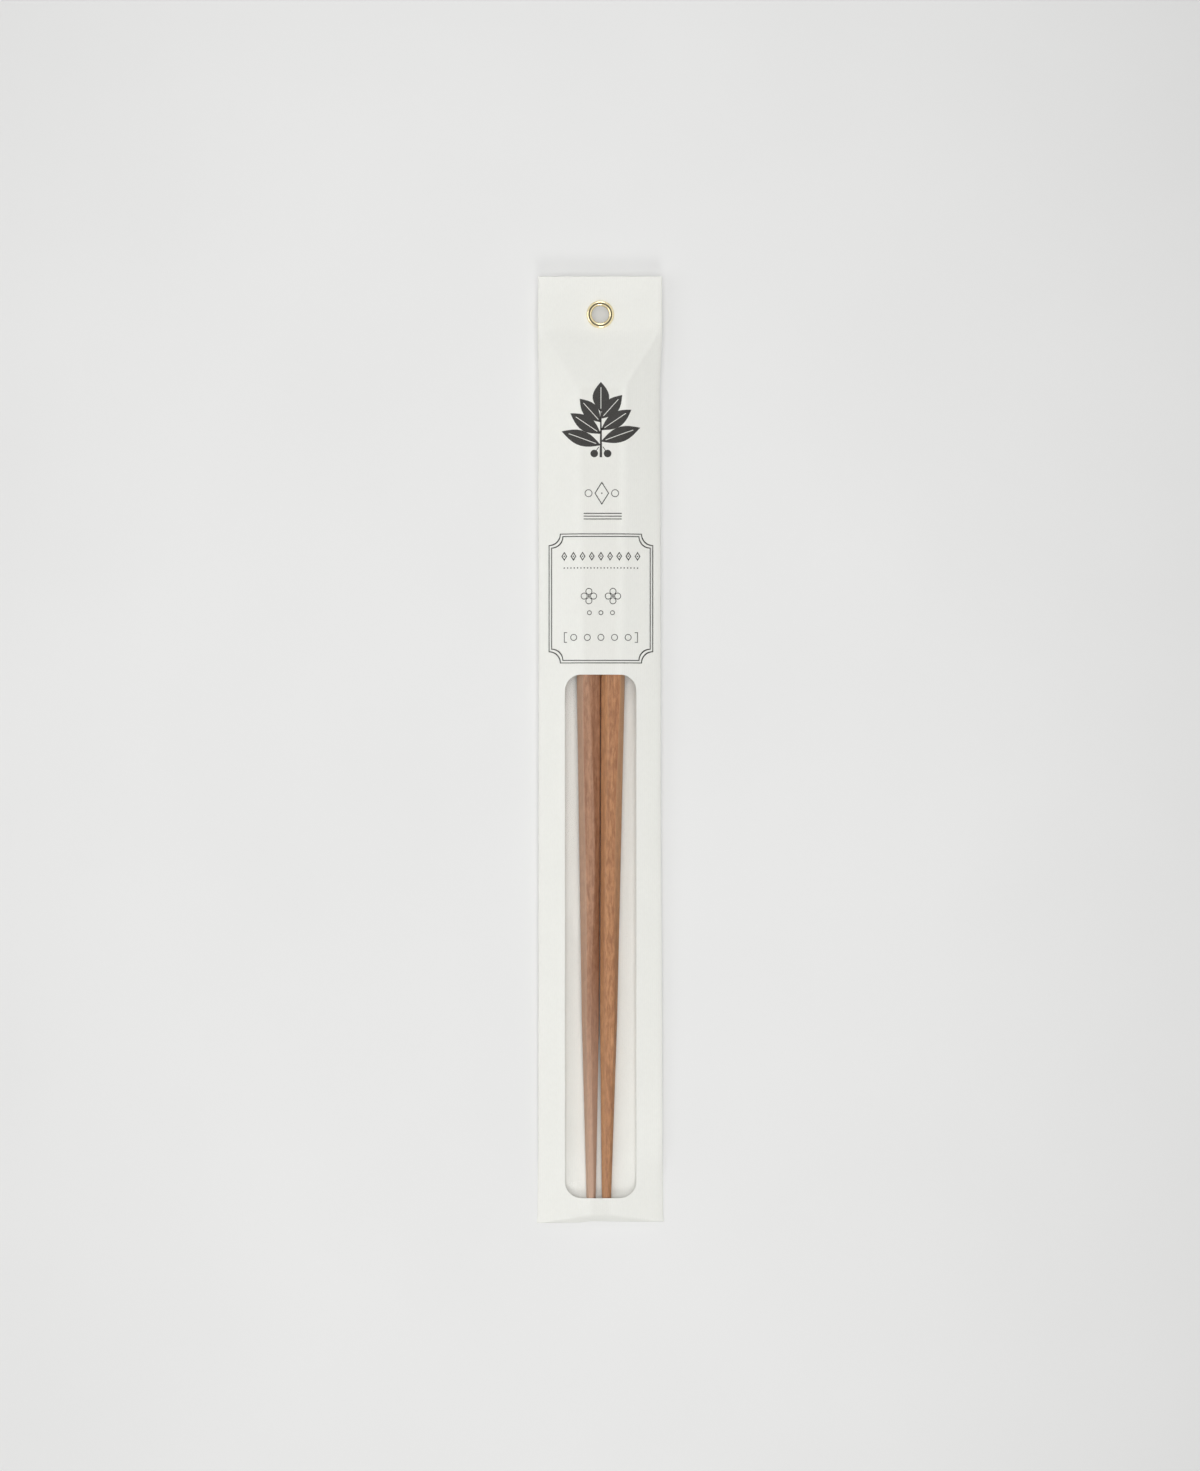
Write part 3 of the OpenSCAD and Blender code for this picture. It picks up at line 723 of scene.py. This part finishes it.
def painted_shade_over_sticks(tree):
    """1 where the paper rests on the sticks' flat tops, 0 beside and beyond them: the mask of the painted
    shade on the paper there.
    """
    axes = add(tree, "ShaderNodeSeparateXYZ")
    tree.links.new(placed(tree), axes.inputs["Vector"])
    half = ramp_value(tree, axes.outputs["Y"], TIP_Y * MM, BUTT_Y * MM,
                      PAINTED_SHADE_TIP_HALF * MM, PAINTED_SHADE_BUTT_HALF * MM)
    side = add(tree, "ShaderNodeMath", operation="ABSOLUTE")
    tree.links.new(axes.outputs["X"], side.inputs[0])
    inside = add(tree, "ShaderNodeMath", operation="SUBTRACT")
    tree.links.new(half, inside.inputs[0])
    tree.links.new(side.outputs[0], inside.inputs[1])
    mask = ramp_value(tree, inside.outputs[0], -0.7 * MM, 0.9 * MM, 0, 1)
    for start, stop in ((TIP_Y - 1, TIP_Y + 0.5), (BUTT_Y + 1, BUTT_Y - 0.5)):
        part = add(tree, "ShaderNodeMath", operation="MULTIPLY")
        tree.links.new(mask, part.inputs[0])
        tree.links.new(ramp_value(tree, axes.outputs["Y"], start * MM, stop * MM, 0, 1), part.inputs[1])
        mask = part.outputs[0]
    return mask


def paper_finish():
    """White ribbed paper: faint cloudy tone, fine fibres and the shallow ribs that
    run along the sheet every 0.57 mm, plainer in some places than in others. Where it
    rests on the sticks it is painted a little greyer: painted shade."""
    made, tree, shader = finish_material("sleeve_paper", Roughness=0.6)
    clouds = noise(tree, placed(tree), 70, 4, 0.6)
    fibres = noise(tree, placed(tree, (1, 0.3, 1)), 2600, 5, 0.65)
    ribs = add(tree, "ShaderNodeTexWave", {"Scale": RIB_SCALE, "Distortion": 0.6, "Detail": 1.0,
                                           "Detail Scale": 0.2}, wave_type="BANDS", bands_direction="X")
    tree.links.new(placed(tree), ribs.inputs["Vector"])
    tone = ramp_colours(tree, clouds, [(0.3, linear(246, 246, 240)), (0.7, linear(249, 249, 243))])
    tone = blend_colours(tree, "MULTIPLY", 0.05, tone, ramp_colours(
        tree, fibres, [(0.35, (0.5, 0.5, 0.48, 1)), (0.6, (1, 1, 1, 1))]))
    plain = ramp_value(tree, clouds, 0.35, 0.65, 0.01, 0.045)
    tone = blend_colours(tree, "MULTIPLY", plain, tone, ramp_colours(
        tree, ribs.outputs["Fac"], [(0.1, (0.6, 0.6, 0.6, 1)), (0.6, (1, 1, 1, 1))]))
    # Painted shade: the paper is made a little greyer where it rests on the sticks
    with_painted_shade = blend_colours(tree, "MULTIPLY", painted_shade_over_sticks(tree), tone, (0.955, 0.952, 0.948, 1))
    tree.links.new(with_painted_shade, shader.inputs["Base Color"])
    relief = add(tree, "ShaderNodeMath", {1: 0.5}, operation="MULTIPLY_ADD")
    tree.links.new(ribs.outputs["Fac"], relief.inputs[0])
    tree.links.new(fibres, relief.inputs[2])
    bump(tree, shader, relief.outputs[0], 0.14, 0.00006)
    return made


def wood_finish(name, dark, light, pale, paler, dash_share, turn, shift):
    """Waxed fruitwood: growth bands and fibre streaks drawn out along the stick, with
    short flecks, fine dashes, dark pores and broad cloudy patches over them, a paler
    tip and a satin wax coat. Each planed facet is painted deeper or paler: painted
    shade and painted highlight for how light falls on it."""
    made, tree, shader = finish_material(name, Roughness=0.42, Coat_Weight=0.2, Coat_Roughness=0.3)
    streaks = noise(tree, placed(tree, (1, 0.018, 1), turn, shift), 900, 7, 0.62)
    bands = noise(tree, placed(tree, (1, 0.01, 0.6), turn, shift), 260, 3, 0.5, 0.6)
    pores = noise(tree, placed(tree, (1, 0.05, 1), turn, shift), 4200, 2, 0.5)
    flecks = noise(tree, placed(tree, (1, 0.42, 1), turn, shift), 950, 4, 0.6, 0.4)
    dashes = noise(tree, placed(tree, (1, 0.2, 1), turn, shift), 1600, 3, 0.6, 0.2)
    patches = noise(tree, placed(tree, (1, 0.35, 1), turn, shift), 120, 3, 0.6)
    middle = mix_colour(dark, light, 0.55)
    colour = ramp_colours(tree, streaks, [(0.25, dark), (0.5, middle), (0.75, light)])
    colour = blend_colours(tree, "MULTIPLY", ramp_value(tree, bands, 0.42, 0.62, 0, 0.16), colour,
                           mix_colour(dark, light, 0.3))
    colour = blend_colours(tree, "MULTIPLY", ramp_value(tree, flecks, 0.42, 0.62, 0, 0.28), colour, dark)
    colour = blend_colours(tree, "MULTIPLY", ramp_value(tree, patches, 0.4, 0.7, 0, 0.08), colour,
                           (0.8, 0.72, 0.64, 1))
    colour = blend_colours(tree, "MULTIPLY", ramp_value(tree, dashes, 0.42, 0.6, 0, dash_share), colour,
                           (0.68, 0.6, 0.5, 1))
    colour = blend_colours(tree, "MULTIPLY", ramp_value(tree, pores, 0.6, 0.7, 0, 0.4), colour, dark)
    # Painted shade and painted highlight per facet: below 0 the colour darkens towards a deep brown, above
    # 0 it blends to the pale colour
    facet = add(tree, "ShaderNodeAttribute", attribute_name="facet").outputs["Fac"]
    colour = blend_colours(tree, "MULTIPLY", ramp_value(tree, facet, -1, 0, 1, 0), colour,
                           (0.6, 0.48, 0.38, 1))
    colour = blend_colours(tree, "MIX", ramp_value(tree, facet, 0, 1, 0, 1), colour, pale)
    where = add(tree, "ShaderNodeTexCoord")
    axes = add(tree, "ShaderNodeSeparateXYZ")
    tree.links.new(where.outputs["Object"], axes.inputs["Vector"])
    tip = ramp_value(tree, axes.outputs["Y"], (TIP_Y + 70) * MM, (TIP_Y + 10) * MM, 0, paler)
    tree.links.new(blend_colours(tree, "MIX", tip, colour, pale), shader.inputs["Base Color"])
    bump(tree, shader, streaks, 0.25, 0.00008)
    return made


def mix_colour(first, second, share):
    """Straight blend of two colours."""
    return tuple(mix(np.array(first), np.array(second), share))


def film_finish():
    """Clear film: a mirror as faint as the gloss of its face, see-through for the rest.
    The gloss is the fifth power of how glancing the look is, the same from both sides."""
    made, tree, shader = finish_material("clear_film", Roughness=0.06, Metallic=1.0,
                                         Base_Color=(1, 1, 1, 1))
    glance = add(tree, "ShaderNodeLayerWeight", {"Blend": 0.5})
    steep = add(tree, "ShaderNodeMath", {1: 5.0}, operation="POWER")
    tree.links.new(glance.outputs["Facing"], steep.inputs[0])
    tree.links.new(ramp_value(tree, steep.outputs[0], 0, 1, 0.012, 0.6), shader.inputs["Alpha"])
    slack = noise(tree, placed(tree, (1, 0.25, 1)), 90, 2, 0.5)
    bump(tree, shader, slack, 0.35, 0.0004)
    return made


def brass_finish():
    """Polished pale brass whose gloss is a little uneven."""
    made, tree, shader = finish_material("eyelet_brass", Metallic=1.0)
    patches = noise(tree, placed(tree), 600, 2, 0.5)
    tone = ramp_colours(tree, patches, [(0.3, (0.84, 0.72, 0.44, 1)), (0.7, (0.90, 0.79, 0.52, 1))])
    tree.links.new(tone, shader.inputs["Base Color"])
    tree.links.new(ramp_value(tree, patches, 0.3, 0.7, 0.07, 0.13), shader.inputs["Roughness"])
    return made


def ink_finish():
    """Matt black ink, a little uneven where the paper's tooth shows."""
    made, tree, shader = finish_material("black_ink", Roughness=0.6)
    tooth = noise(tree, placed(tree), 3000, 3, 0.6)
    tree.links.new(ramp_colours(tree, tooth, [(0.3, linear(40, 39, 37)), (0.75, linear(60, 58, 55))]),
                   shader.inputs["Base Color"])
    return made


def seen_directly(tree):
    """1 for rays from the camera and for mirrored and transmitted ones, else 0."""
    path = add(tree, "ShaderNodeLightPath")
    most = path.outputs["Is Camera Ray"]
    for name in ("Is Glossy Ray", "Is Transmission Ray"):
        either = add(tree, "ShaderNodeMath", operation="MAXIMUM")
        tree.links.new(most, either.inputs[0])
        tree.links.new(path.outputs[name], either.inputs[1])
        most = either.outputs[0]
    return most


def floor_finish():
    """A pale studio floor with a painted fall-off of light: its colour darkens with the
    square of the distance from a place left of the pack, slower along the pack. Part
    of what the camera sees of it glows by itself, so it reads as near white and its
    shadows stay faint."""
    made, tree, shader = finish_material("studio_floor", Roughness=0.75)
    clouds = noise(tree, placed(tree), 14, 3, 0.5)
    shade = add(tree, "ShaderNodeVectorMath", operation="DOT_PRODUCT")
    away = placed(tree, (1, 0.6, 1), shift=(0.03, 0, 0))
    for socket in shade.inputs[:2]:
        tree.links.new(away, socket)
    # Painted light: the floor's colour darkens away from a bright pool left of the pack
    painted_light_falloff = ramp_value(tree, shade.outputs["Value"], 0.01, 0.06, 1, 0.88)
    tone = ramp_colours(tree, clouds, [(0.3, linear(239, 239, 238)), (0.7, linear(241, 241, 240))])
    tone = blend_colours(tree, "MULTIPLY", 1, tone, painted_light_falloff)
    tree.links.new(tone, shader.inputs["Base Color"])
    glow = add(tree, "ShaderNodeEmission", {"Strength": 1.0})
    tree.links.new(tone, glow.inputs["Color"])
    share = add(tree, "ShaderNodeMath", {1: 0.28}, operation="MULTIPLY")
    tree.links.new(seen_directly(tree), share.inputs[0])
    both = add(tree, "ShaderNodeMixShader")
    tree.links.new(share.outputs[0], both.inputs[0])
    tree.links.new(shader.outputs[0], both.inputs[1])
    tree.links.new(glow.outputs[0], both.inputs[2])
    tree.links.new(both.outputs[0], tree.nodes["Material Output"].inputs["Surface"])
    return made


def dress(piece, node):
    """The piece rides on the one body and stands for a CAD node."""
    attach(piece, "root")
    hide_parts(node)


left_wood = wood_finish(
    "waxed_wood_left", dark=linear(156, 107, 75), light=linear(195, 148, 114), pale=linear(212, 180, 157),
    paler=0.65, dash_share=0.55, turn=(0.1, 0, 0.012), shift=(0.013, 0.2, 0.004))
right_wood = wood_finish(
    "waxed_wood_right", dark=linear(164, 107, 65), light=linear(206, 151, 102), pale=linear(212, 166, 126),
    paler=0.25, dash_share=0.9, turn=(0.5, 0, -0.01), shift=(-0.021, 0.4, 0.017))
# Painted light and shade of the eight facets, below 0 painted shade and above 0 painted
# highlight, from the left side over the top and round below: at the tip, then at the window's top
LEFT_FACET_SHADING = [[0, 0.4, 0, -0.8, -0.3, 0, 0, 0], [0, 0.55, 0.1, 0, -1.1, 0, 0, 0]]
RIGHT_FACET_SHADING = [[-0.8, 0.3, 0, -0.2, -0.2, 0, 0, 0], [-1, 0.3, 0.1, 0.8, 0.3, 0, 0, 0]]
dress(build_sleeve(paper_finish()), "sleeve")
dress(build_film(film_finish()), "window_film")
dress(build_stick("left_stick", -1, left_wood, LEFT_FACET_SHADING), "chopstick_left")
dress(build_stick("right_stick", 1, right_wood, RIGHT_FACET_SHADING), "chopstick_right")
dress(build_print(ink_finish()), "printed_ink")
dress(build_eyelet(brass_finish()), "eyelet")


def build_floor():
    """A square far wider than the view, just under the pack."""
    reach, top = 1500, -0.05
    corners = [(-reach, -reach, top), (reach, -reach, top), (reach, reach, top), (-reach, reach, top)]
    make_object("floor", corners, [[0, 1, 2, 3]], floor_finish())


def softbox(name, place, size, watts, mirrored=True):
    """A square area light that looks at the middle of the pack. One that hangs where
    the camera is isn't mirrored in brass or film, as the camera would hide it."""
    light = bpy.data.lights.new(name, "AREA")
    light.size = size
    light.energy = watts
    lamp = bpy.data.objects.new(name, light)
    lamp.visible_glossy = mirrored
    lamp.location = place
    lamp.rotation_euler = (-Vector(place)).to_track_quat("-Z", "Y").to_euler()
    bpy.context.scene.collection.objects.link(lamp)


def studio_world():
    """Even white light. What metal and film mirror of it is nearer to white, as studio
    walls are, but dark round the horizon and right above, where the camera stands. A
    camera that looks past the floor sees it pale."""
    world = bpy.data.worlds.new("studio")
    world.use_nodes = True
    tree = world.node_tree
    where = add(tree, "ShaderNodeTexCoord")
    axes = add(tree, "ShaderNodeSeparateXYZ")
    tree.links.new(where.outputs["Generated"], axes.inputs["Vector"])
    path = add(tree, "ShaderNodeLightPath")
    strength = add(tree, "ShaderNodeMix", {2: 0.19}, data_type="FLOAT")
    tree.links.new(path.outputs["Is Glossy Ray"], strength.inputs[0])
    wall, horizon, camera_side = (0.95, 0.95, 0.95, 1), (0.2, 0.2, 0.2, 1), (0.15, 0.15, 0.15, 1)
    mirrored = ramp_colours(tree, axes.outputs["Z"], [(0.02, horizon), (0.2, wall), (0.91, wall),
                                                      (0.97, camera_side)])
    tree.links.new(mirrored, strength.inputs[3])
    seen = add(tree, "ShaderNodeMix", {3: 0.8}, data_type="FLOAT")
    tree.links.new(path.outputs["Is Camera Ray"], seen.inputs[0])
    tree.links.new(strength.outputs[0], seen.inputs[2])
    tree.nodes["Background"].inputs["Color"].default_value = (1, 1, 1, 1)
    tree.links.new(seen.outputs[0], tree.nodes["Background"].inputs["Strength"])
    bpy.context.scene.world = world


def build_camera():
    """Straight down on the pack, far enough for little perspective."""
    height, frame_len, centre = 1.35, 0.4196, (-0.00009, 0.00394)
    camera = bpy.data.cameras.new("camera")
    camera.lens = camera.sensor_width * height / frame_len
    holder = bpy.data.objects.new("camera", camera)
    holder.location = (*centre, height)
    bpy.context.scene.collection.objects.link(holder)
    bpy.context.scene.camera = holder


build_floor()
softbox("overhead", (0, 0, 1.9), 1.0, 14.0, mirrored=False)
softbox("near_end", (0.1, -1.1, 1.15), 0.5, 4.9)
softbox("far_end", (0, 1.1, 1.15), 0.6, 3.0)
softbox("side_left", (-1.1, 0, 1.15), 1.0, 4.3)
softbox("side_right", (1.15, 0.1, 1.0), 0.6, 0.3)
studio_world()
build_camera()
bpy.context.scene.view_settings.view_transform = "Standard"
